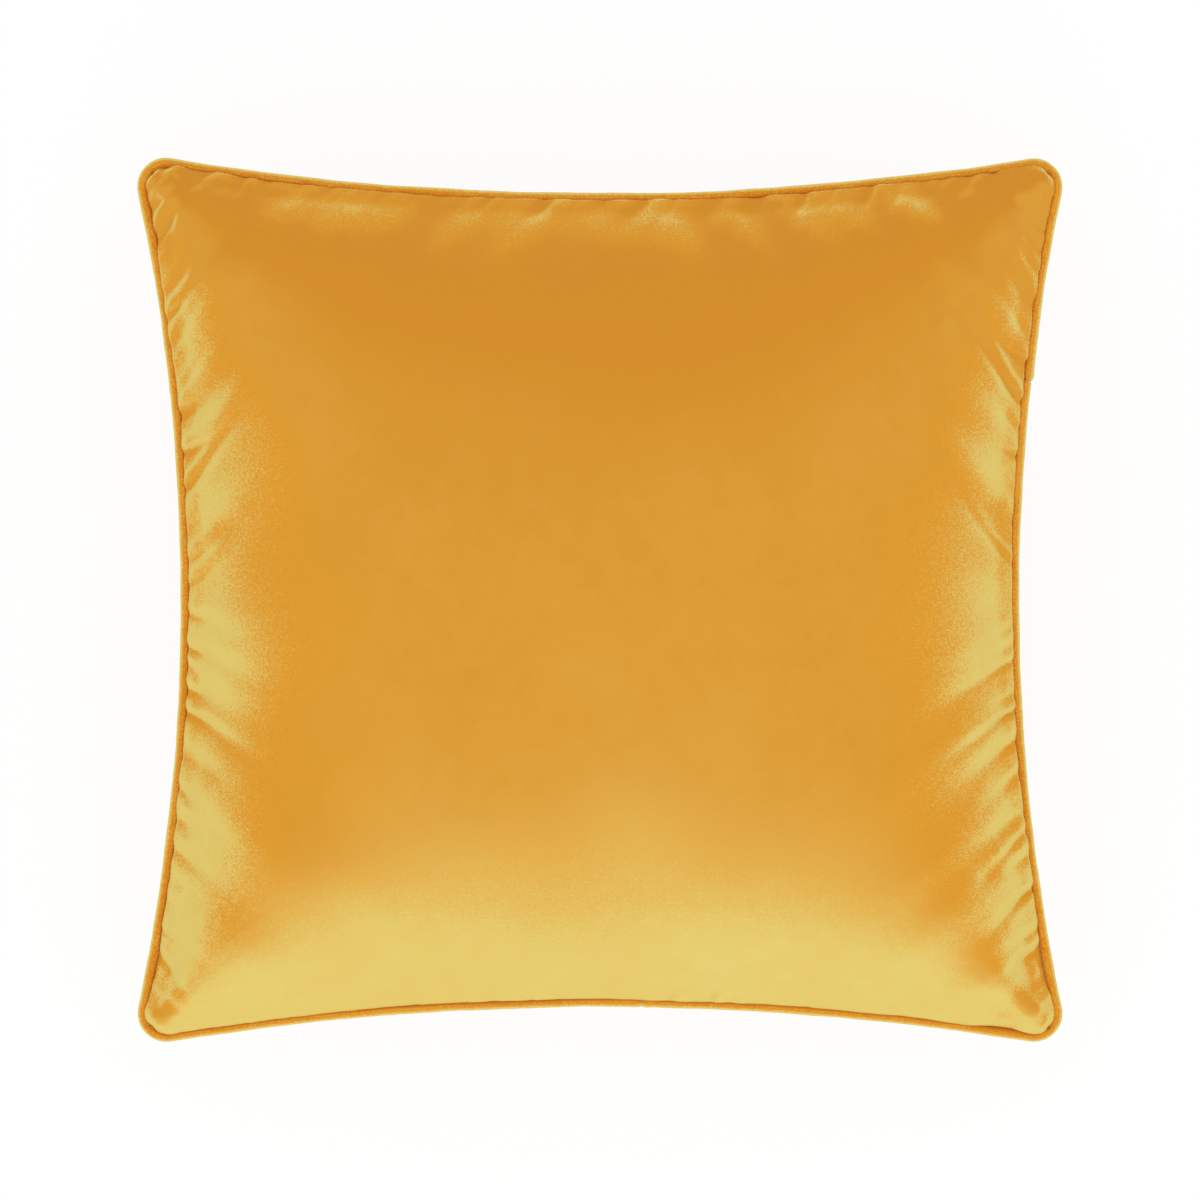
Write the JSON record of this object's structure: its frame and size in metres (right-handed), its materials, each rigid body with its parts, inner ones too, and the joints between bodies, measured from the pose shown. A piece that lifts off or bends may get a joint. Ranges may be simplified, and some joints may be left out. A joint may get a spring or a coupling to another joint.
{
  "type": "throw pillow",
  "caption": "Square throw pillow with self-covered piping, a zip under the piping of its bottom edge and a filled inner pad.",
  "frame": {"origin": "on the resting surface, under the middle of the pillow", "axes": "+Z out of the front panel, +X to its right edge, +Y to its top edge"},
  "size_m": [0.4494, 0.4296, 0.1512],
  "materials": {
    "velvet": "matte",
    "piping_velvet": "matte",
    "cotton_cord": "matte",
    "amber_thread": "satin",
    "zip_tape": "matte",
    "zip_nylon": "satin",
    "zip_metal": "satin",
    "label_satin": "satin",
    "pad_cotton": "matte",
    "pad_thread": "satin",
    "fibre_filling": "matte"
  },
  "bodies": {
    "pillow": {"front_panel": "velvet", "back_panel": "velvet", "piping_cover_long": "piping_velvet", "piping_cover_short": "piping_velvet", "piping_cord": "cotton_cord", "cover_seam_thread": "amber_thread", "zip_tape_seam_side": "zip_tape", "zip_tape_panel_side": "zip_tape", "zip_coil_seam_side": "zip_nylon", "zip_coil_panel_side": "zip_nylon", "zip_top_stop_seam_side": "zip_metal", "zip_top_stop_panel_side": "zip_metal", "zip_bottom_stop": "zip_metal", "zip_topstitch_thread": "amber_thread", "care_label": "label_satin", "pad_casing_front": "pad_cotton", "pad_casing_back": "pad_cotton", "pad_seam_thread": "pad_thread", "pad_filling": "fibre_filling"},
    "slider": {"zip_slider": "zip_metal"},
    "pull_tab": {"zip_pull_tab": "zip_metal"}
  },
  "joints": [
    {"name": "zip_travel", "type": "hinge", "parent": "pillow", "child": "slider", "pos_m": [0, -1.50194, 0.07], "axis": [0, 0, 1], "range_deg": [0, 13.3]},
    {"name": "pull_tab_flip", "type": "hinge", "parent": "slider", "child": "pull_tab", "pos_m": [0.1522, -0.19927, 0.06035], "axis": [-0.0669, -0.5725, 0.8172], "range_deg": [0, 165]}
  ]
}
